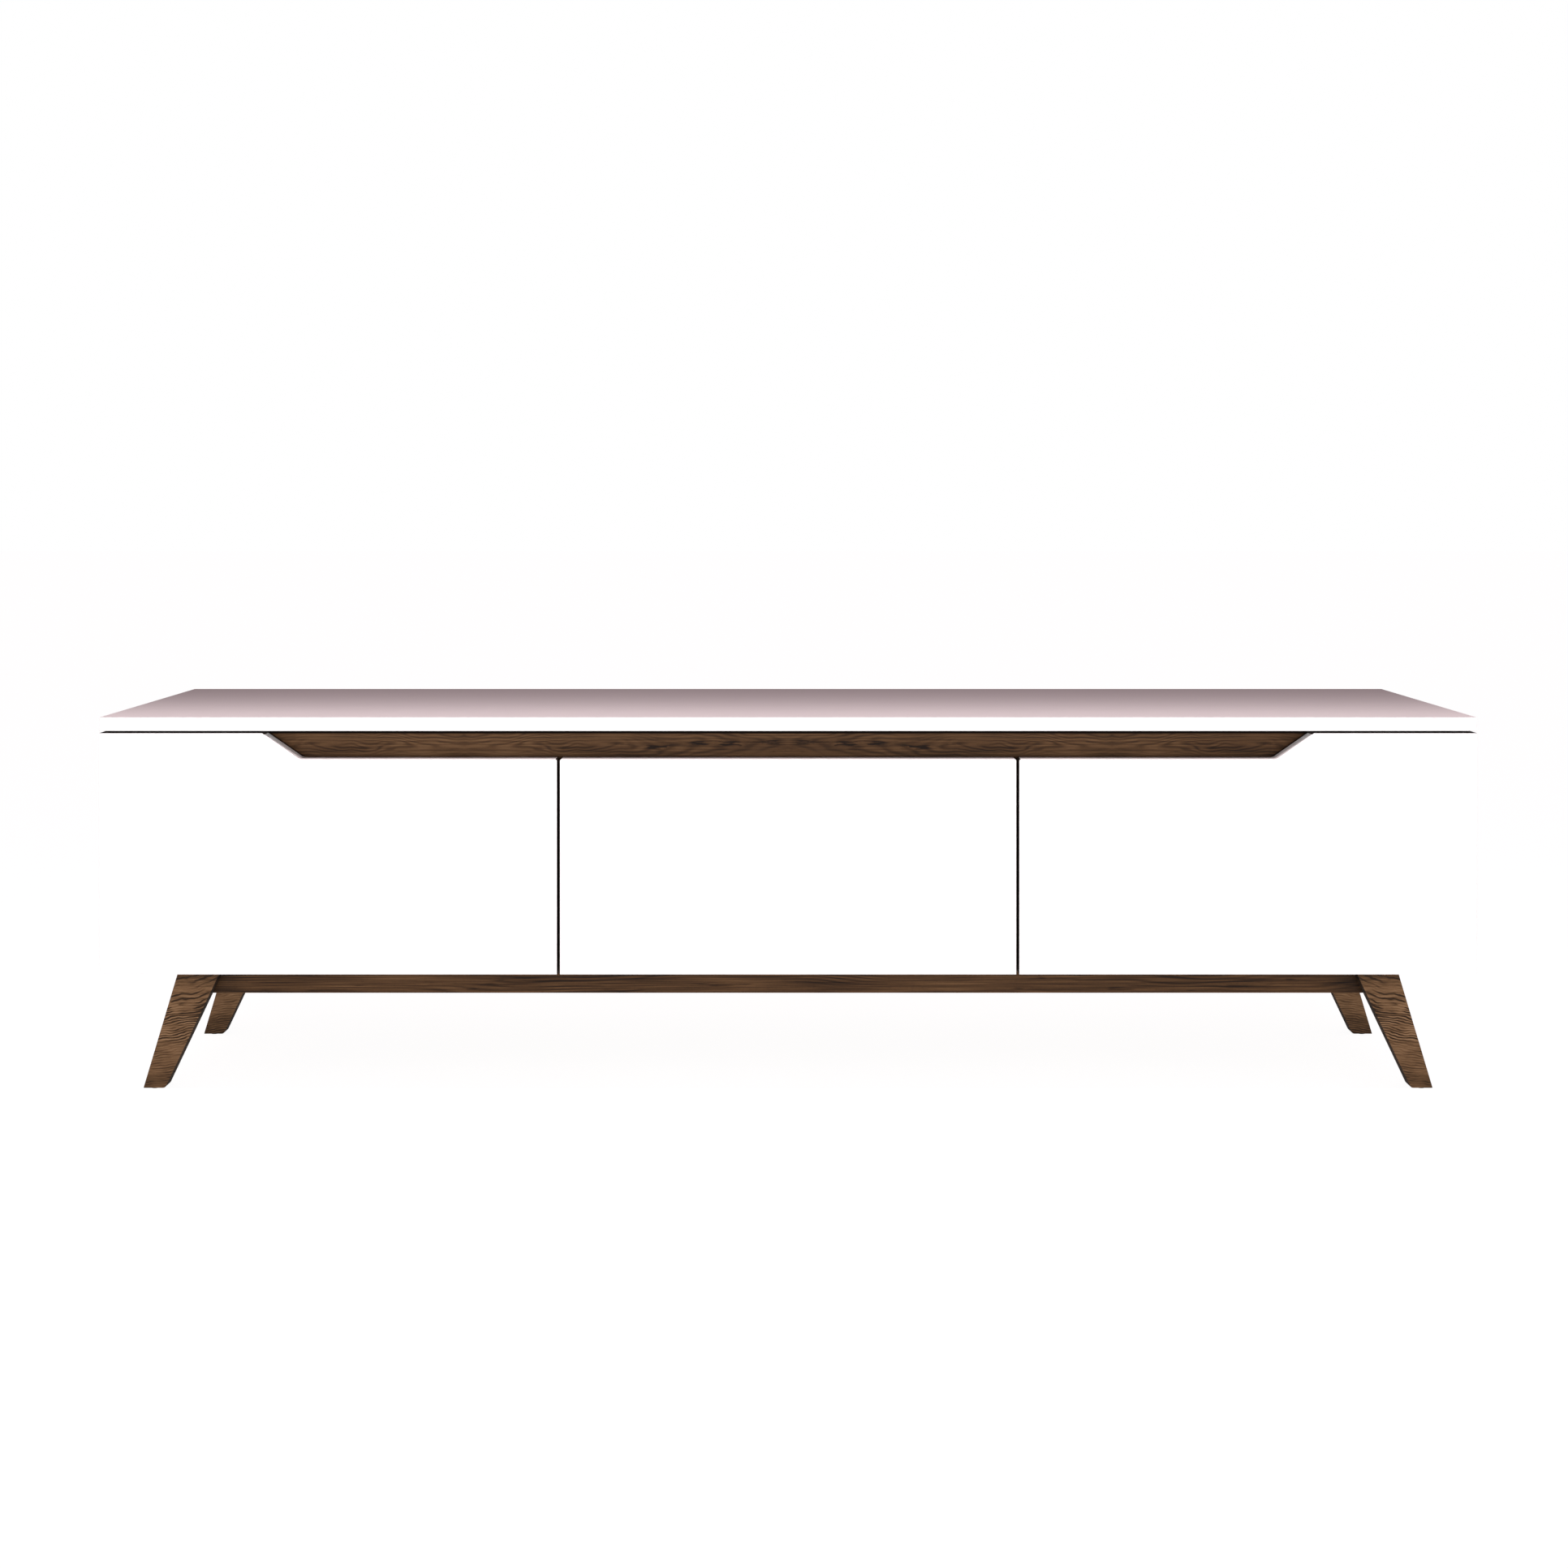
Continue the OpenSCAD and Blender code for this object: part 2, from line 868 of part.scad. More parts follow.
module door_hinge_leaves(door) {
    color(STEEL) difference() {
        at_hinges(door) hinge_leaf(-1, 1, pin_r);
        hinge_screw_places(door, -1) screw_body();
    }
}

// Pins, held fast in the door's knuckles and running in those of the box
module hinge_pins(door) {
    end_x = hinge_l / 2 + knuckle_gap;
    color(ZINC) at_hinges(door) {
        rod_x([0, 0], -end_x - eps, end_x + eps, pin_r);
        rod_x([0, 0], -end_x - pin_head_h, -end_x, pin_head_r);
        rod_x([0, 0], end_x, end_x + pin_head_h, pin_head_r);
    }
}

/* Doors */

// Outline of an outer door, with the slanted end of the finger recess
module outer_door_outline() {
    inner_edge = divider_x + door_gap / 2;
    slant = atan2(recess_h, recess_run);
    recess_centre = [recess_half_w - recess_r * tan(slant / 2), ledge_z + recess_r];
    corner_centre = [inner_edge + door_corner_r, ledge_z - door_corner_r];
    polygon(concat(
        [
            [inner_edge, leg_h],
            [half_w, leg_h],
            [half_w, door_top_z],
            [recess_half_w + recess_run, door_top_z]
        ],
        arc(recess_centre, recess_r, slant - 90, -90),
        arc(corner_centre, door_corner_r, 90, 180)
    ));
}

// Outline of the centre door, which ends along the ledge of the recess
module centre_door_outline() {
    edge_x = divider_x - door_gap / 2;
    corner_x = edge_x - door_corner_r;
    corner_z = ledge_z - door_corner_r;
    polygon(concat(
        [[-edge_x, leg_h], [edge_x, leg_h]],
        arc([corner_x, corner_z], door_corner_r, 0, 90),
        arc([-corner_x, corner_z], door_corner_r, 90, 180)
    ));
}

module left_door_panel() {
    color(WHITE) difference() {
        mirror([1, 0, 0]) slab_xz(front_y, door_back_y) outer_door_outline();
        door_screw_places(0) screw_body();
    }
}

module centre_door_panel() {
    color(WHITE) difference() {
        slab_xz(front_y, door_back_y) centre_door_outline();
        door_screw_places(1) screw_body();
    }
}

module right_door_panel() {
    color(WHITE) difference() {
        slab_xz(front_y, door_back_y) outer_door_outline();
        door_screw_places(2) screw_body();
    }
}

module door_screws(door) {
    color(ZINC) door_screw_places(door) screw();
}

module strike_plates(door) {
    color(STEEL) difference() {
        catch_places(door, door_back_y) cylinder(h = strike_t, r = strike_r);
        door_screw_places(door) screw_body();
    }
}

module outer_bumper_pair() {
    for (spot = outer_bumpers) {
        rod_y(spot[0], spot[1], door_back_y, door_back_y + bumper_t, bumper_r);
    }
}

module left_door_bumpers() {
    color(RUBBER) mirror([1, 0, 0]) outer_bumper_pair();
}

module centre_door_bumpers() {
    color(RUBBER) both_ends() {
        rod_y(centre_bumper[0], centre_bumper[1], door_back_y, door_back_y + bumper_t, bumper_r);
    }
}

module right_door_bumpers() {
    color(RUBBER) outer_bumper_pair();
}

module magnetic_catches() {
    color(ZINC) for (door = [0:2]) {
        catch_places(door, carcass_y) {
            translate([0, 0, -catch_out]) cylinder(h = catch_out + catch_in, r = catch_r);
        }
    }
}

/* Brake stays, in the frame of the wall that carries the housing */

// Flat bar with a round eye at each of its two pivots
module bar_outline(a, b) {
    along = b - a;
    translate(a) {
        rotate([0, 0, atan2(along[1], along[0])]) {
            translate([0, -arm_half_w]) square([norm(along), 2 * arm_half_w]);
        }
        circle(r = arm_r);
    }
    translate(b) circle(r = arm_r);
}

module stay_housing(door) {
    p = housing_pivot;
    color(RUBBER) at_stay(door) difference() {
        union() {
            block([0, p[0] - flange_front, p[1] - flange_h / 2],
                [flange_t, p[0] + flange_back, p[1] + flange_h / 2]);
            block([0, p[0], p[1] - body_h / 2], [body_t, p[0] + body_l, p[1] + body_h / 2]);
            rod_x(p, 0, housing_t, drum_r);
            rod_x(p, housing_t - eps, link_x + eps, boss_r);
            rod_x(p, link_x, link_x + rivet_head_h, boss_head_r);
        }
        block([link_x + 0.4, p[0] - 5, p[1] - 0.6], [link_x + 2, p[0] + 5, p[1] + 0.6]);
        housing_screw_places() screw_body();
    }
}

module stay_lever(door) {
    color(STEEL) at_stay(door) difference() {
        slab_yz(lever_x, lever_x + arm_t) bar_outline(housing_pivot, link_pivot);
        rod_x(housing_pivot, lever_x - 1, link_x, boss_r + running_clear);
        rod_x(link_pivot, lever_x - 1, link_x, rivet_r + running_clear);
    }
}

// The link carries the rivet of its upper pivot, and has a bore for the bracket's pin
module stay_link(door) {
    rivet_x = lever_x - layer_gap;
    color(STEEL) at_stay(door) difference() {
        union() {
            slab_yz(link_x, link_x + arm_t) bar_outline(link_pivot, bracket_pivot);
            rod_x(link_pivot, rivet_x - eps, link_x + eps, rivet_r);
            rod_x(link_pivot, rivet_x - rivet_head_h, rivet_x, rivet_head_r);
        }
        rod_x(bracket_pivot, link_x - 1, link_x + arm_t + 1, rivet_r + open_clear);
    }
}

module stay_bracket(door) {
    plate_y = door_back_y + bracket_plate_t;
    z = bracket_pivot[1];
    pin_end = link_x + arm_t + layer_gap;
    color(STEEL) at_stay(door) difference() {
        union() {
            block([bracket_plate_x[0], door_back_y, z - bracket_plate_h / 2],
                [bracket_plate_x[1], plate_y, z + bracket_plate_h / 2]);
            block([lever_x, plate_y - eps, z - ear_h / 2],
                [lever_x + arm_t, bracket_pivot[0], z + ear_h / 2]);
            rod_x(bracket_pivot, lever_x, lever_x + arm_t, ear_h / 2);
            rod_x(bracket_pivot, lever_x + arm_t - eps, pin_end + eps, rivet_r);
            rod_x(bracket_pivot, pin_end, pin_end + rivet_head_h, rivet_head_r);
        }
        bracket_screw_places() screw_body();
    }
}

module left_hinge_leaves() { door_hinge_leaves(0); }
module centre_hinge_leaves() { door_hinge_leaves(1); }
module right_hinge_leaves() { door_hinge_leaves(2); }
module left_hinge_pins() { hinge_pins(0); }
module centre_hinge_pins() { hinge_pins(1); }
module right_hinge_pins() { hinge_pins(2); }
module left_door_screws() { door_screws(0); }
module centre_door_screws() { door_screws(1); }
module right_door_screws() { door_screws(2); }
module left_strike_plates() { strike_plates(0); }
module centre_strike_plates() { strike_plates(1); }
module right_strike_plates() { strike_plates(2); }
module left_stay_housing() { stay_housing(0); }
module centre_stay_housing() { stay_housing(1); }
module right_stay_housing() { stay_housing(2); }
module left_stay_lever() { stay_lever(0); }
module centre_stay_lever() { stay_lever(1); }
module right_stay_lever() { stay_lever(2); }
module left_stay_link() { stay_link(0); }
module centre_stay_link() { stay_link(1); }
module right_stay_link() { stay_link(2); }
module left_stay_bracket() { stay_bracket(0); }
module centre_stay_bracket() { stay_bracket(1); }
module right_stay_bracket() { stay_bracket(2); }

top_panel();
bottom_panel();
left_side_panel();
right_side_panel();
left_divider();
right_divider();
handle_rail();
left_back_panel();
centre_back_panel();
right_back_panel();
front_left_leg();
front_right_leg();
back_left_leg();
back_right_leg();
front_base_rail();
back_base_rail();
left_cross_rail();
right_cross_rail();
leg_glides();
leg_bolts();
base_screws();
cam_locks();
cam_bolts();
dowels();
back_nails();
frame_hinge_leaves();
frame_screws();
left_stay_housing();
centre_stay_housing();
right_stay_housing();
magnetic_catches();
left_door_panel();
centre_door_panel();
right_door_panel();
left_hinge_leaves();
centre_hinge_leaves();
right_hinge_leaves();
left_hinge_pins();
centre_hinge_pins();
right_hinge_pins();
left_door_screws();
centre_door_screws();
right_door_screws();
left_stay_bracket();
centre_stay_bracket();
right_stay_bracket();
left_strike_plates();
centre_strike_plates();
right_strike_plates();
left_door_bumpers();
centre_door_bumpers();
right_door_bumpers();
left_stay_lever();
centre_stay_lever();
right_stay_lever();
left_stay_link();
centre_stay_link();
right_stay_link();
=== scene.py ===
"""The looks of the media cabinet: lacquer, walnut, metal and plastic on the CAD frame, with light
and camera."""
import json
import math

import bpy
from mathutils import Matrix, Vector


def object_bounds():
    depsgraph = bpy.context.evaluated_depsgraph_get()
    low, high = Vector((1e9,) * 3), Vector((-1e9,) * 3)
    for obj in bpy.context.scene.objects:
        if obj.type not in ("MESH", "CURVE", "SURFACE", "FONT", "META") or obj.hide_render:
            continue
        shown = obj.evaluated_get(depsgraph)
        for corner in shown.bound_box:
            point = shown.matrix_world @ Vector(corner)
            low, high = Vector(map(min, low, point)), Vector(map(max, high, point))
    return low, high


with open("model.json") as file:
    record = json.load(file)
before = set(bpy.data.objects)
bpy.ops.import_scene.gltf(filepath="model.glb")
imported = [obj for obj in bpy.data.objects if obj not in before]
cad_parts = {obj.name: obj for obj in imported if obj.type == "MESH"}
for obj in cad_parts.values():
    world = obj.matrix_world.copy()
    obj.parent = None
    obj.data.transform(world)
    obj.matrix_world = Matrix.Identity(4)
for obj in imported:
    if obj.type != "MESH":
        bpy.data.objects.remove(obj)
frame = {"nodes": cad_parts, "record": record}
nodes = frame["nodes"]
cad_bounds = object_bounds()
low, high = (Vector(corner) for corner in cad_bounds)

MM = 0.001
LEG_HEIGHT = 0.156
TOP_THICKNESS = 0.018
# door edges that lie no further below the top of the cabinet than this close the gap under the top panel
UNDER_TOP_REACH = 0.0225
# half of the width of the middle of the front, which holds both gaps between doors
GAP_HALF_REACH = 0.31
# the painted shadow line on the handle rail, round the recess in the shade of the top and the doors: its
# level along the ledge, half of its length there, the run of its ends for each unit of rise, and how dark it
# is
SHADOW_LINE_LEVEL = 0.4345
SHADOW_LINE_HALF_WIDTH = 0.6338
SLANT = 49 / 34
SHADOW_LINE_DARKNESS = 0.8
# least roughness of a board's face where it is veneered
VENEERED_ROUGHNESS = 0.8


# ---------------------------------------------------------------- shader graphs

class Graph:
    """A material's node tree, with one short method for each kind of node."""

    def __init__(self, name):
        self.material = bpy.data.materials.new(name)
        self.material.use_nodes = True
        self.tree = self.material.node_tree
        self.shader = self.tree.nodes["Principled BSDF"]

    def put(self, socket, value):
        if isinstance(value, bpy.types.NodeSocket):
            self.tree.links.new(value, socket)
        else:
            socket.default_value = value

    def node(self, kind, out=0, inputs=None, **props):
        made = self.tree.nodes.new(kind)
        for key, value in props.items():
            setattr(made, key, value)
        for key, value in (inputs or {}).items():
            self.put(made.inputs[key], value)
        return made.outputs[out]

    def math(self, operation, a, b=0.0, c=0.0):
        return self.node("ShaderNodeMath", 0, {0: a, 1: b, 2: c}, operation=operation)

    def parts(self, coordinate):
        """The three numbers of a texture coordinate, in the frame of the part at rest."""
        split = self.tree.nodes.new("ShaderNodeSeparateXYZ")
        self.put(split.inputs[0], self.node("ShaderNodeTexCoord", coordinate))
        return split.outputs[0], split.outputs[1], split.outputs[2]

    def point(self):
        """The place on the part, in metres."""
        return self.parts("Object")

    def normal(self):
        """The direction that the surface faces."""
        return self.parts("Normal")

    def vector(self, x, y, z):
        return self.node("ShaderNodeCombineXYZ", 0, {0: x, 1: y, 2: z})

    def noise(self, vector, scale=1.0, detail=2.0, roughness=0.5):
        inputs = {"Vector": vector, "Scale": scale, "Detail": detail, "Roughness": roughness}
        return self.node("ShaderNodeTexNoise", 0, inputs, noise_dimensions="3D")

    def remap(self, value, from_low, from_high, to_low=0.0, to_high=1.0, smooth=False):
        kind = "SMOOTHSTEP" if smooth else "LINEAR"
        inputs = {0: value, 1: from_low, 2: from_high, 3: to_low, 4: to_high}
        return self.node("ShaderNodeMapRange", 0, inputs, interpolation_type=kind, clamp=True)

    def ramp(self, value, stops):
        made = self.tree.nodes.new("ShaderNodeValToRGB")
        self.put(made.inputs[0], value)
        elements = made.color_ramp.elements
        while len(elements) < len(stops):
            elements.new(0.5)
        for element, (place, colour) in zip(elements, stops):
            element.position = place
            element.color = (*colour, 1.0)
        return made.outputs[0]

    def mix(self, factor, a, b, blend="MIX"):
        made = self.tree.nodes.new("ShaderNodeMix")
        made.data_type = "RGBA"
        made.blend_type = blend
        self.put(made.inputs[0], factor)
        self.put(made.inputs[6], a if isinstance(a, bpy.types.NodeSocket) else (*a, 1.0))
        self.put(made.inputs[7], b if isinstance(b, bpy.types.NodeSocket) else (*b, 1.0))
        return made.outputs[2]

    def bump(self, height, strength, distance):
        inputs = {"Strength": strength, "Distance": distance, "Height": height}
        return self.node("ShaderNodeBump", 0, inputs)

    def finish(self, **inputs):
        for key, value in inputs.items():
            name = key.replace("_", " ").title().replace("Ior", "IOR")
            if isinstance(value, tuple) and len(value) == 3:
                value = (*value, 1.0)
            self.put(self.shader.inputs[name], value)
        return self.material


def linear(red, green, blue):
    """An 8-bit screen colour as a linear one."""
    def one(value):
        value /= 255
        return value / 12.92 if value <= 0.04045 else ((value + 0.055) / 1.055) ** 2.4
    return one(red), one(green), one(blue)


# ---------------------------------------------------------------- materials

class Wood(Graph):
    """A walnut veneer. The grain runs along one axis, and a figure is laid over its fibres and pores."""

    def __init__(self, name, palette, grain_axis, across_axis, leaf=0.0):
        super().__init__(name)
        self.palette = palette
        axes = self.point()
        self.place = axes
        self.along = axes[grain_axis]
        self.across = axes[across_axis]
        self.depth = axes[3 - grain_axis - across_axis]
        if leaf:
            self.along = self.math("PINGPONG", self.along, leaf)

    def streaks(self, along_rate, across_rate, detail=2.0, roughness=0.5, shift=0.0):
        """Noise that is drawn out along the grain."""
        along = self.math("MULTIPLY_ADD", self.along, along_rate, shift)
        across = self.math("MULTIPLY", self.across, across_rate)
        depth = self.math("MULTIPLY", self.depth, across_rate)
        return self.noise(self.vector(along, across, depth), 1.0, detail, roughness)

    def rings(self, field, sharpness):
        """The growth rings of a field: 0 between the dark lines and 1 on them."""
        wave = self.math("SINE", self.math("MULTIPLY", field, 2 * math.pi))
        return self.math("POWER", self.remap(wave, -1.0, 1.0), sharpness)

    def grade(self, stops):
        """A number that changes with height on a leg, from stops of (share of the height, number)."""
        share = self.math("DIVIDE", self.across, LEG_HEIGHT)
        return self.ramp(share, [(place, (number, number, number)) for place, number in stops])

    def veneer(self, tone, painted_shade=None):
        """Colour, roughness and normal of the wood, from a tone between 0, darkest, and 1, and darkened by a
        mask of painted shade where one is given.
        """
        fibre = self.streaks(55.0, 1500.0, 3.0, 0.6)
        pores = self.remap(self.streaks(130.0, 2600.0, 1.0, 0.5), 0.6, 0.72, smooth=True)
        tone = self.math("ADD", tone, self.math("MULTIPLY_ADD", fibre, 0.3, -0.15))
        dark, brown, light, pale = self.palette
        colour = self.ramp(tone, [(0.0, dark), (0.35, brown), (0.65, light), (1.0, pale)])
        colour = self.mix(self.math("MULTIPLY", pores, 0.35), colour, dark)
        # painted shade: the mask darkens the colour towards near black
        if painted_shade is not None:
            colour = self.mix(painted_shade, colour, tuple(0.3 * c for c in dark))
        rough = self.remap(fibre, 0.3, 0.7, 0.46, 0.58)
        if painted_shade is not None:
            rough = self.math("MAXIMUM", rough, painted_shade)
        height = self.math("SUBTRACT", self.math("MULTIPLY", fibre, 0.4), pores)
        return colour, rough, self.bump(height, 0.3, 0.1 * MM)

    def shade(self, tone, painted_shade=None):
        colour, rough, normal = self.veneer(tone, painted_shade)
        return self.finish(base_color=colour, roughness=rough, normal=normal, specular_ior_level=0.08)

    def straight_tone(self):
        """Plain straight grain in long fine streaks, with low arches and a few dark flecks."""
        field = self.math("MULTIPLY_ADD", self.streaks(3.0, 20.0, 2.0), 10.0,
                          self.math("MULTIPLY", self.across, 190.0))
        present = self.remap(self.streaks(5.0, 50.0, 1.0, shift=3.0), 0.38, 0.62)
        lines = self.math("MULTIPLY", self.rings(field, 2.0), present)
        cloud = self.streaks(3.0, 34.0, 3.0, 0.55, shift=7.0)
        thin = self.streaks(7.0, 620.0, 2.0, 0.6, shift=1.0)
        fleck = self.remap(self.streaks(16.0, 170.0, 2.0, 0.5, shift=11.0), 0.62, 0.72, smooth=True)
        tone = self.math("MULTIPLY_ADD", cloud, 0.6, 0.26)
        tone = self.math("SUBTRACT", tone, self.math("MULTIPLY", lines, 0.45))
        tone = self.math("SUBTRACT", tone, self.math("MULTIPLY", fleck, 0.3))
        return self.math("ADD", tone, self.math("MULTIPLY_ADD", thin, 1.5, -0.75))


def rail_veneer():
    """Book-matched leaves with a cathedral eye in each, and a dark flame where two leaves meet in the
    middle."""
    leaf = 0.427
    eye = 0.285
    eye_length = 0.1
    eye_height = 0.0105
    level = high.z - 0.0395
    w = Wood("rail_walnut", DARK_WALNUT, 0, 2, leaf)
    sway = w.math("MULTIPLY_ADD", w.streaks(13.0, 3.0, 2.0), 0.026, -0.013)
    rise = w.math("ADD", w.math("SUBTRACT", w.across, level), sway)
    from_eye = w.math("DIVIDE", w.math("SUBTRACT", w.along, eye), eye_length)
    from_level = w.math("DIVIDE", rise, eye_height)
    span = w.math("SQRT", w.math("ADD", w.math("MULTIPLY", from_eye, from_eye),
                                 w.math("MULTIPLY", from_level, from_level)))
    field = w.math("MULTIPLY_ADD", w.streaks(8.0, 55.0, 2.0), 3.6, w.math("MULTIPLY", span, 3.1))
    lines = w.math("MULTIPLY", w.rings(field, 1.6), w.remap(w.streaks(5.0, 60.0, 1.0, shift=4.0), 0.35, 0.65))
    cloud = w.streaks(7.0, 45.0, 3.0, 0.55, shift=9.0)
    thin = w.streaks(9.0, 560.0, 2.0, 0.6, shift=2.0)
    tone = w.math("MULTIPLY_ADD", cloud, 0.8, 0.22)
    tone = w.math("SUBTRACT", tone, w.math("MULTIPLY", lines, 0.36))
    tone = w.math("ADD", tone, w.math("MULTIPLY_ADD", thin, 1.1, -0.55))
    flame_line = w.remap(w.math("ABSOLUTE", rise), 0.0, 0.0042, 1.0, 0.0, smooth=True)
    flame_reach = w.remap(w.along, 0.16, 0.27, 1.0, 0.0, smooth=True)
    flame_break = w.remap(w.streaks(30.0, 240.0, 3.0, 0.65, shift=5.0), 0.47, 0.58, smooth=True)
    flame = w.math("MULTIPLY", w.math("MULTIPLY", flame_line, flame_reach), flame_break)
    tone = w.math("SUBTRACT", tone, w.math("MULTIPLY", flame, 0.75))
    tone = w.math("ADD", tone, w.remap(w.place[0], low.x, high.x, 0.1, -0.1))
    return w.shade(tone, painted_shadow_lines(w))


def painted_shadow_lines(w):
    """Painted shadow: a thin dark line round the recess, where the veneer runs behind the top and the doors
    and lies in their shade.
    """
    left = w.math("ABSOLUTE", w.place[0])
    # painted shadow of the top panel along the top of the rail
    under_top = w.remap(w.across, high.z - 0.0242, high.z - 0.0234, smooth=True)
    # painted shade along the ledge behind the doors, and along the slanted ends of the recess
    to_ledge = w.math("ABSOLUTE", w.math("SUBTRACT", w.across, low.z + SHADOW_LINE_LEVEL + 0.3 * MM))
    door_shadow = w.remap(to_ledge, 0.6 * MM, 1.4 * MM, SHADOW_LINE_DARKNESS, 0.0, smooth=True)
    end = w.math("MULTIPLY_ADD", w.across, SLANT, SHADOW_LINE_HALF_WIDTH - SHADOW_LINE_LEVEL * SLANT)
    to_end = w.math("ABSOLUTE", w.math("SUBTRACT", end, left))
    end_shadow = w.remap(to_end, 1.2 * MM, 3.0 * MM, SHADOW_LINE_DARKNESS, 0.0, smooth=True)
    above = w.math("GREATER_THAN", w.across, low.z + SHADOW_LINE_LEVEL - 0.5 * MM)
    within = w.math("LESS_THAN", w.math("SUBTRACT", left, end), 0.0)
    lines = w.math("MAXIMUM", w.math("MULTIPLY", door_shadow, within), w.math("MULTIPLY", end_shadow, above))
    return w.math("MAXIMUM", under_top, lines)


def straight_veneer(name, grain_axis, across_axis):
    w = Wood(name, DARK_WALNUT, grain_axis, across_axis)
    return w.shade(w.straight_tone())


def base_veneer():
    """The rails of the base frame, with painted shade right under the box and towards the legs."""
    w = Wood("base_walnut", DARK_WALNUT, 0, 2)
    # painted shadow under the box along the top of the rails, and painted shade beside the legs
    shade_under_box = w.remap(w.across, LEG_HEIGHT - 0.003, LEG_HEIGHT, 0.0, 0.6, smooth=True)
    shade_by_leg = w.remap(w.math("ABSOLUTE", w.along), 0.715, 0.745, 0.0, 0.35, smooth=True)
    tone = w.math("SUBTRACT", w.straight_tone(), 0.12)
    return w.shade(tone, w.math("MAXIMUM", shade_under_box, shade_by_leg))


def leg_veneer():
    """Grain that runs across the leg in fine wavy dark lines, strongest half way down. The side faces carry
    painted shade, most on the inner ones; the top carries painted shadow under the box, and the foot is
    darker.
    """
    w = Wood("leg_walnut", LEG_WALNUT, 0, 2)
    w.along = w.math("ABSOLUTE", w.along)
    sway = w.streaks(17.0, 20.0, 3.0, 0.55)
    slope = w.math("MULTIPLY", w.along, 38.0)
    coarse = w.math("MULTIPLY_ADD", sway, 4.2, w.math("MULTIPLY_ADD", w.across, 150.0, slope))
    fine = w.math("MULTIPLY_ADD", sway, 6.0, w.math("MULTIPLY_ADD", w.across, 290.0, slope))
    broken = w.remap(w.streaks(34.0, 70.0, 2.0, 0.5, shift=6.0), 0.36, 0.56)
    coarse_part = w.grade([(0.0, 0.0), (0.36, 0.15), (0.6, 0.35), (0.7, 1.0), (0.79, 0.95), (0.83, 0.1),
                           (0.88, 0.1), (0.93, 0.8), (1.0, 0.6)])
    fine_part = w.grade([(0.0, 0.3), (0.18, 0.35), (0.3, 0.3), (0.38, 0.1), (0.43, 0.75), (0.66, 0.85),
                         (0.74, 0.2), (0.84, 0.12), (1.0, 0.15)])
    dark = w.math("MULTIPLY", w.rings(coarse, 5.0), coarse_part)
    dark = w.math("ADD", dark, w.math("MULTIPLY", w.rings(fine, 2.2), fine_part))
    dark = w.math("MULTIPLY", dark, broken)
    bright = w.math("MULTIPLY", w.rings(w.math("ADD", fine, 0.5), 3.0), fine_part)
    bright = w.math("MULTIPLY", bright, w.remap(w.streaks(20.0, 60.0, 1.0, 0.5, shift=1.0), 0.4, 0.65))
    cloud = w.streaks(9.0, 26.0, 3.0, 0.55, shift=8.0)
    thin = w.streaks(34.0, 700.0, 3.0, 0.65, shift=2.0)
    tone = w.math("MULTIPLY_ADD", cloud, 0.6, 0.33)
    tone = w.math("SUBTRACT", tone, w.math("MULTIPLY", dark, 1.15))
    tone = w.math("MULTIPLY_ADD", bright, 0.6, tone)
    tone = w.math("ADD", tone, w.math("MULTIPLY_ADD", thin, 1.1, -0.55))
    # darker towards the foot, and painted shadow under the box at the top of the leg
    ends = w.math("MAXIMUM", w.remap(w.across, 0.04, 0.0, 0.0, 0.4, smooth=True),
                  w.remap(w.across, 0.13, 0.152, 0.0, 0.42, smooth=True))
    # painted shade on the side faces, strongest on the inner ones towards the cabinet
    across, outward, _ = w.normal()
    inner = w.math("LESS_THAN", w.math("MULTIPLY", across, w.place[0]), 0.1)
    leg_side_shade = w.math("MULTIPLY", w.remap(w.math("ABSOLUTE", outward), 0.45, 0.8, 1.0, 0.0),
                  w.math("MULTIPLY_ADD", inner, 0.6, 0.25))
    return w.shade(w.math("SUBTRACT", tone, ends), leg_side_shade)


def door_gap_shade_edges(w):
    """1 on the door edges that face a gap: those between two doors, and those close under the top. They take
    a near-black walnut edge band that is also painted shade in the gaps.
    """
    across, _, up = w.normal()
    x, _, z = w.place
    between = w.math("MULTIPLY", w.math("LESS_THAN", w.math("ABSOLUTE", x), GAP_HALF_REACH),
                     w.math("GREATER_THAN", w.math("ABSOLUTE", across), 0.1))
    at_top = w.math("GREATER_THAN", z, high.z - UNDER_TOP_REACH)
    under = w.math("MULTIPLY", at_top, w.math("GREATER_THAN", up, 0.5))
    return w.math("MAXIMUM", between, under)


def carcass_faces(w):
    """1 on the side panels' inner faces and front edges."""
    across, outward, _ = w.normal()
    x, _, z = w.place
    inner = w.math("LESS_THAN", w.math("MULTIPLY", across, x), -0.1)
    front_edge = w.math("LESS_THAN", outward, -0.5)
    under_top = w.math("LESS_THAN", z, high.z - TOP_THICKNESS)
    return w.math("MULTIPLY", w.math("MAXIMUM", inner, front_edge), under_top)


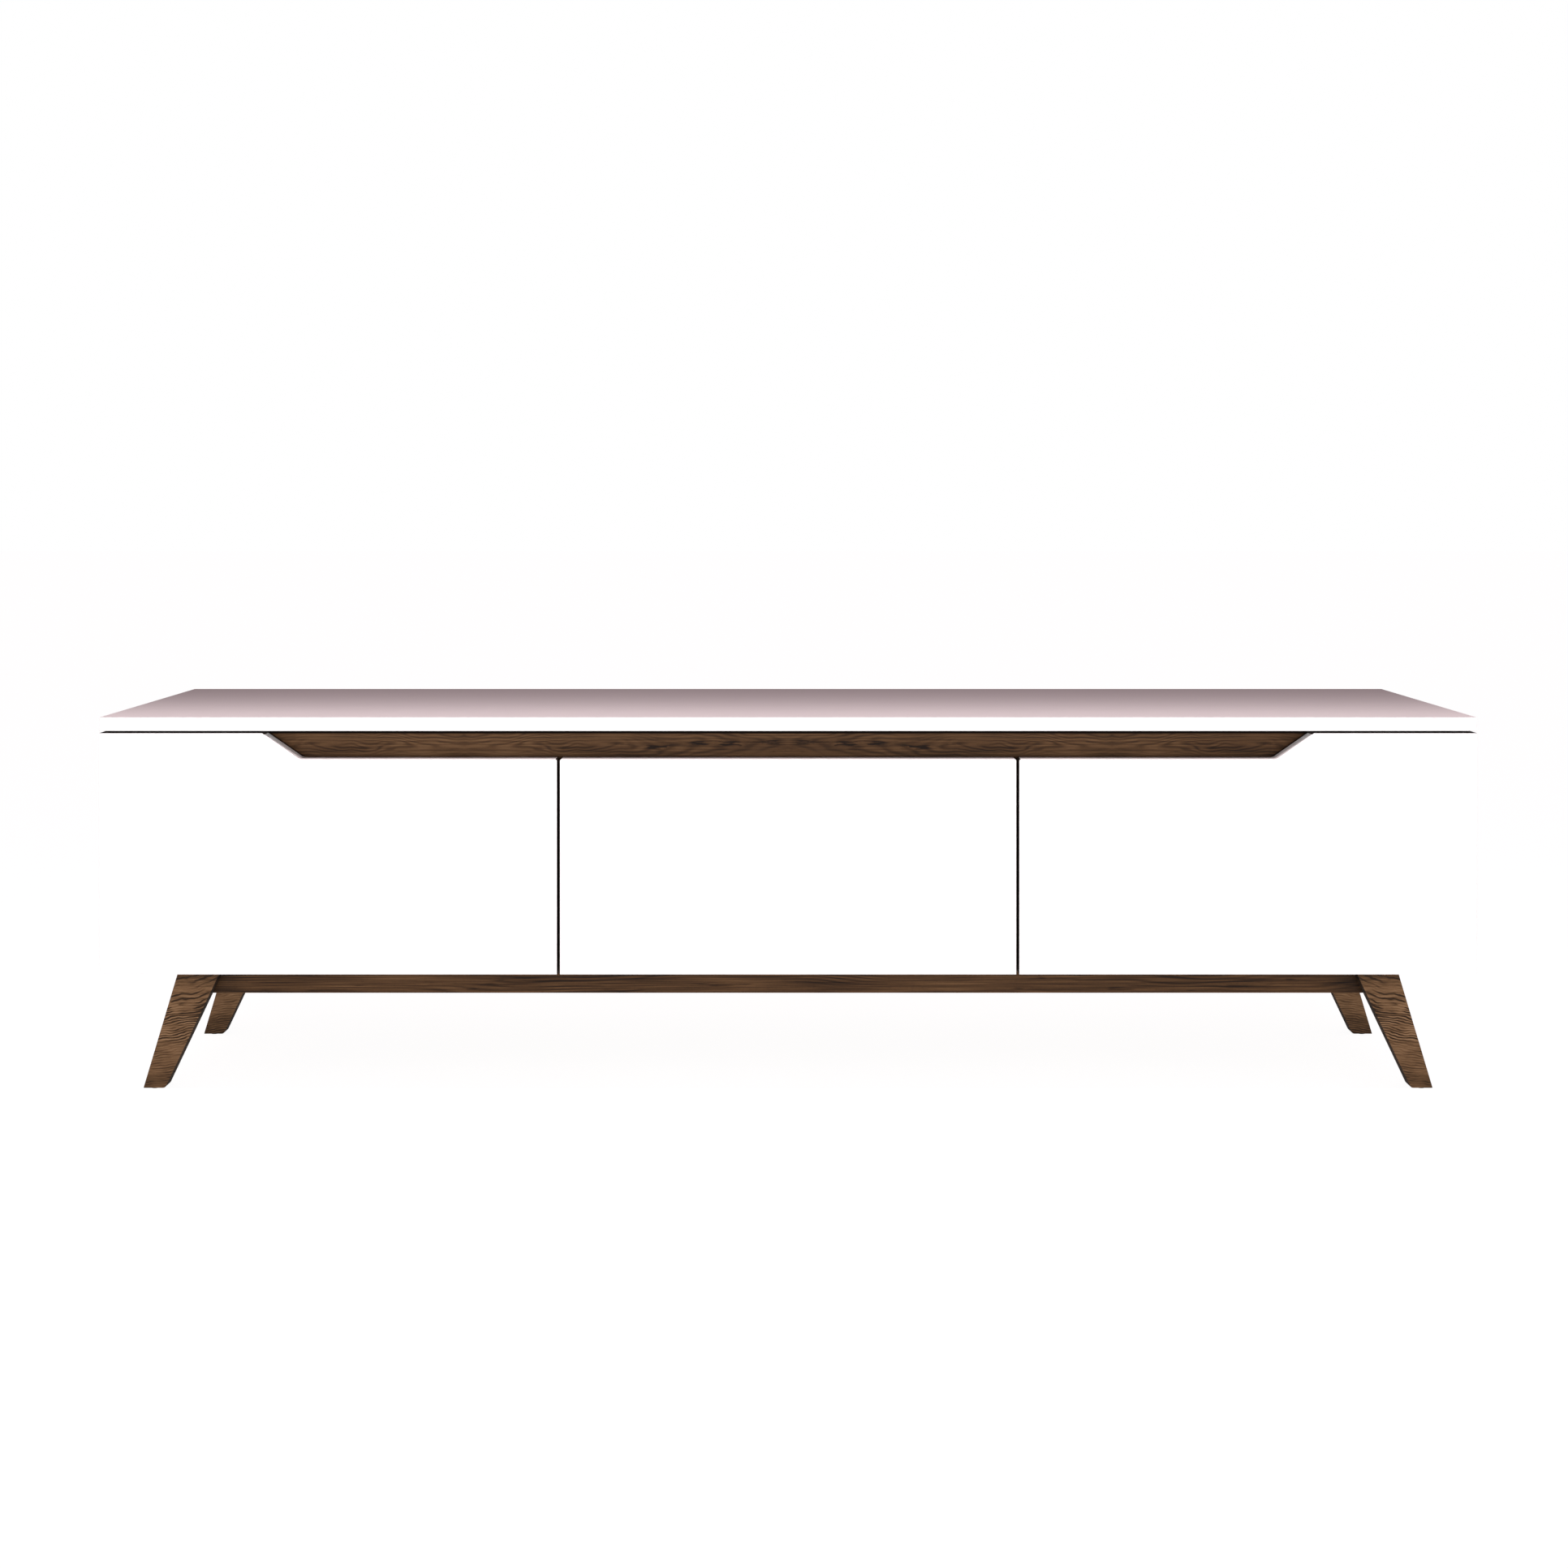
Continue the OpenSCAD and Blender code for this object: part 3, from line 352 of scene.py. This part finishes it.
def lacquer(name, colour, roughness, ripple, veneer_or_gap_shade, grain_axis, across_axis, palette):
    """Sprayed satin lacquer: faint orange peel, faint cloudiness and a slightly uneven sheen. Where
    the mask is 1, the board shows dark walnut in place of the lacquer: veneer on the carcass, and on the
    doors a near-black edge band that is also painted shade in the gaps."""
    w = Wood(name, palette, grain_axis, across_axis)
    place = w.vector(*w.place)
    wood, wood_rough, _ = w.veneer(w.straight_tone())
    tone = w.remap(w.noise(place, 3.0, 3.0), 0.3, 0.7, 0.985, 1.0)
    paint = w.mix(1.0, colour, w.node("ShaderNodeCombineColor", 0, {0: tone, 1: tone, 2: tone}), "MULTIPLY")
    paint_rough = w.remap(w.noise(place, 60.0, 4.0, 0.6), 0.3, 0.7, roughness - 0.03, roughness + 0.04)
    peel = w.noise(place, 420.0, 2.0, 0.45)
    mask = veneer_or_gap_shade(w)
    rough = w.math("ADD", paint_rough, w.math("MULTIPLY", mask, w.math("SUBTRACT", wood_rough, paint_rough)))
    rough = w.math("MAXIMUM", rough, w.math("MULTIPLY", mask, VENEERED_ROUGHNESS))
    return w.finish(base_color=w.mix(mask, paint, wood), roughness=rough,
                    normal=w.bump(peel, 1.0, ripple * MM), specular_ior_level=0.5)


def metal(name, colour, roughness, brush_axis, brushing, tarnish):
    """Steel or zinc with fine drawing lines, handling marks and duller patches."""
    g = Graph(name)
    axes = list(g.point())
    scales = [900.0, 900.0, 900.0]
    scales[brush_axis] = 40.0
    lines = g.noise(g.vector(*[g.math("MULTIPLY", a, s) for a, s in zip(axes, scales)]), 1.0, 2.0, 0.6)
    marks = g.noise(g.vector(*axes), 90.0, 4.0, 0.65)
    dull = g.remap(marks, 0.45, 0.75)
    base = g.mix(g.math("MULTIPLY", dull, tarnish), colour, tuple(0.62 * c for c in colour))
    rough = g.math("ADD", g.remap(lines, 0.3, 0.7, roughness - 0.06, roughness + 0.06),
                   g.math("MULTIPLY", dull, 0.12))
    return g.finish(base_color=base, metallic=1.0, roughness=rough,
                    normal=g.bump(lines, brushing, 0.05 * MM))


def moulded(name, colour, roughness, grain, grain_depth):
    """Moulded plastic or rubber with a fine spark-eroded grain."""
    g = Graph(name)
    place = g.vector(*g.point())
    texture = g.noise(place, grain, 2.0, 0.6)
    cloud = g.noise(place, 25.0, 3.0, 0.5)
    base = g.mix(g.remap(cloud, 0.35, 0.7), colour, tuple(1.5 * c for c in colour))
    rough = g.remap(texture, 0.3, 0.7, roughness - 0.05, roughness + 0.08)
    return g.finish(base_color=base, roughness=rough, normal=g.bump(texture, 0.6, grain_depth * MM))


def hardboard(name, colour):
    """Bare hardboard with its pressed fibres behind, and walnut foil on the face inside the cabinet."""
    w = Wood(name, DARK_WALNUT, 0, 2)
    place = w.vector(*w.place)
    fibres = w.noise(place, 260.0, 4.0, 0.7)
    blotch = w.noise(place, 9.0, 4.0, 0.6)
    speck = w.noise(place, 700.0, 3.0, 0.7)
    bare = w.mix(w.remap(blotch, 0.3, 0.7), colour, tuple(0.86 * c for c in colour))
    bare = w.mix(w.remap(speck, 0.55, 0.75, 0.0, 0.45), bare, tuple(0.55 * c for c in colour))
    foil, _, _ = w.veneer(w.straight_tone())
    inside = w.math("LESS_THAN", w.normal()[1], -0.5)
    return w.finish(base_color=w.mix(inside, bare, foil), roughness=w.remap(fibres, 0.3, 0.7, 0.6, 0.78),
                    normal=w.bump(fibres, 0.5, 0.1 * MM), specular_ior_level=0.2)


# near-black walnut on the door edges that face a gap: an edge band that is also painted shade in the gaps
GAP_SHADE_EDGE_BAND = [linear(16, 10, 6), linear(30, 20, 13), linear(42, 29, 19), linear(54, 38, 26)]
DARK_WALNUT = [linear(28, 16, 8), linear(59, 39, 22), linear(83, 58, 36), linear(108, 80, 54)]
LEG_WALNUT = [linear(40, 26, 14), linear(80, 57, 36), linear(108, 80, 55), linear(136, 106, 78)]

SLOT_MATERIALS = {
    "white_lacquered_board": lacquer("board_lacquer", (0.86, 0.85, 0.845), 0.42, 0.02, carcass_faces,
                                     1, 2, DARK_WALNUT),
    # the door edges that face a gap take the near-black edge band, which is also painted shade
    "white_lacquered_door": lacquer("door_lacquer", (0.88, 0.875, 0.87), 0.38, 0.02, door_gap_shade_edges,
                                    0, 1, GAP_SHADE_EDGE_BAND),
    "walnut_board": straight_veneer("inner_walnut", 0, 1),
    "fibreboard_back": hardboard("back_board", (0.33, 0.22, 0.13)),
    "walnut_leg": leg_veneer(),
    "dark_walnut_veneer": base_veneer(),
    "black_rubber": moulded("rubber", (0.02, 0.02, 0.021), 0.7, 900.0, 0.03),
    "grey_plastic": moulded("housing_plastic", (0.1, 0.102, 0.106), 0.48, 1400.0, 0.04),
    "beech_dowel": moulded("beech", (0.52, 0.33, 0.17), 0.7, 700.0, 0.08),
    "zinc_casting": metal("zinc", (0.42, 0.43, 0.45), 0.42, 0, 0.25, 0.6),
    "zinc_plated_screw": metal("screw_zinc", (0.6, 0.61, 0.64), 0.28, 0, 0.15, 0.4),
    "nickel_plated_steel": metal("nickel", (0.66, 0.64, 0.6), 0.3, 0, 0.3, 0.35),
    "satin_steel": metal("pressed_steel", (0.55, 0.56, 0.58), 0.36, 2, 0.4, 0.4),
}
divider_walnut = straight_veneer("divider_walnut", 1, 2)
cross_walnut = straight_veneer("cross_rail_walnut", 1, 2)
NODE_MATERIALS = {
    "handle_rail": rail_veneer(),
    "left_divider": divider_walnut, "right_divider": divider_walnut,
    "left_cross_rail": cross_walnut, "right_cross_rail": cross_walnut,
}


# ---------------------------------------------------------------- edges of the boards

BOARD_EDGE = {
    "top_panel": 1.0,
    "left_door_panel": 0.6, "centre_door_panel": 0.6, "right_door_panel": 0.6,
    "left_side_panel": 0.6, "right_side_panel": 0.6, "bottom_panel": 0.6,
    "left_divider": 0.6, "right_divider": 0.6, "handle_rail": 0.5,
    "front_left_leg": 0.5, "front_right_leg": 0.5, "back_left_leg": 0.5, "back_right_leg": 0.5,
    "front_base_rail": 0.8, "back_base_rail": 0.8, "left_cross_rail": 0.8, "right_cross_rail": 0.8,
}


def soften(thing, width):
    """Joins the triangulated faces into whole ones, and rounds the sharp edges between them."""
    weld = thing.modifiers.new("joined_edges", "WELD")
    weld.merge_threshold = 0.001 * MM
    flat = thing.modifiers.new("flat_faces", "DECIMATE")
    flat.decimate_type = "DISSOLVE"
    flat.angle_limit = math.radians(1)
    bevel = thing.modifiers.new("edge_round", "BEVEL")
    bevel.width = width * MM
    bevel.segments = 3
    bevel.limit_method = "ANGLE"
    bevel.angle_limit = math.radians(28)
    bevel.use_clamp_overlap = False
    shade = thing.modifiers.new("flat_shading", "WEIGHTED_NORMAL")
    shade.weight = 100


node_slot = {row["node"]: row["material_slot"] for row in frame["record"]["subparts"]}
for name, thing in nodes.items():
    thing.data.materials.clear()
    thing.data.materials.append(NODE_MATERIALS.get(name, SLOT_MATERIALS[node_slot[name]]))
    if name in BOARD_EDGE:
        soften(thing, BOARD_EDGE[name])


# ---------------------------------------------------------------- floor, light and camera

def plane(name, corners):
    mesh = bpy.data.meshes.new(name)
    mesh.from_pydata(corners, [], [(0, 1, 2, 3)])
    made = bpy.data.objects.new(name, mesh)
    bpy.context.scene.collection.objects.link(made)
    return made


def area_light(name, place, target, size, power, colour):
    data = bpy.data.lights.new(name, "AREA")
    data.shape = "RECTANGLE"
    data.size, data.size_y = size
    data.energy = power
    data.color = colour
    made = bpy.data.objects.new(name, data)
    made.location = place
    made.rotation_euler = (Vector(target) - Vector(place)).to_track_quat("-Z", "Y").to_euler()
    bpy.context.scene.collection.objects.link(made)
    return made


FLOOR_REACH = 30.0
corners = [(-1, -1), (1, -1), (1, 1), (-1, 1)]
floor = plane("floor", [(FLOOR_REACH * x, FLOOR_REACH * y, low.z) for x, y in corners])
floor_graph = Graph("floor_paint")
floor_speck = floor_graph.noise(floor_graph.vector(*floor_graph.point()), 4.0, 3.0)
floor.data.materials.append(floor_graph.finish(
    base_color=floor_graph.mix(floor_speck, (0.34, 0.34, 0.34), (0.36, 0.36, 0.36)), roughness=0.9,
    specular_ior_level=0.0, emission_color=(1.0, 1.0, 1.0), emission_strength=0.94))

scene = bpy.context.scene
scene.view_settings.view_transform = "Standard"
scene.view_settings.look = "None"

world = bpy.data.worlds.new("studio")
world.use_nodes = True
world_tree = world.node_tree
world_out = next(node for node in world_tree.nodes if node.type == "OUTPUT_WORLD")
backdrop = world_tree.nodes.new("ShaderNodeBackground")
backdrop.inputs[0].default_value = (1.0, 1.0, 1.0, 1.0)
room = world_tree.nodes["Background"]
room.inputs[0].default_value = (0.2, 0.145, 0.155, 1.0)
room.inputs[1].default_value = 1.0
path = world_tree.nodes.new("ShaderNodeLightPath")
choice = world_tree.nodes.new("ShaderNodeMixShader")
world_tree.links.new(path.outputs["Is Camera Ray"], choice.inputs[0])
world_tree.links.new(room.outputs[0], choice.inputs[1])
world_tree.links.new(backdrop.outputs[0], choice.inputs[2])
world_tree.links.new(choice.outputs[0], world_out.inputs[0])
scene.world = world

KEY_DISTANCE = 3.2
KEY_WATTS = 74.0
STRIP_WATTS = 3.5
front = Vector((0.0, low.y, (low.z + high.z) / 2))
area_light("key", front - Vector((0.0, KEY_DISTANCE, 0.0)), front, (5.0, 0.45), KEY_WATTS, (1.0, 1.0, 1.0))
top_strip = area_light("top_strip", (0.0, low.y - 0.05, high.z + 0.25), (0.0, low.y, high.z),
                       (2.6, 0.06), STRIP_WATTS, (1.0, 0.86, 0.88))
top_strip.visible_camera = False

CAMERA_DISTANCE = 2.177
CAMERA_RISE = 0.268
camera_data = bpy.data.cameras.new("camera")
camera_data.lens = 38.27
camera_data.sensor_width = 36.0
camera_data.shift_x = -0.0026
camera_data.shift_y = -0.1734
camera = bpy.data.objects.new("camera", camera_data)
camera.location = (0.0, low.y - CAMERA_DISTANCE, high.z + CAMERA_RISE)
camera.rotation_euler = (math.radians(90), 0.0, 0.0)
scene.collection.objects.link(camera)
scene.camera = camera
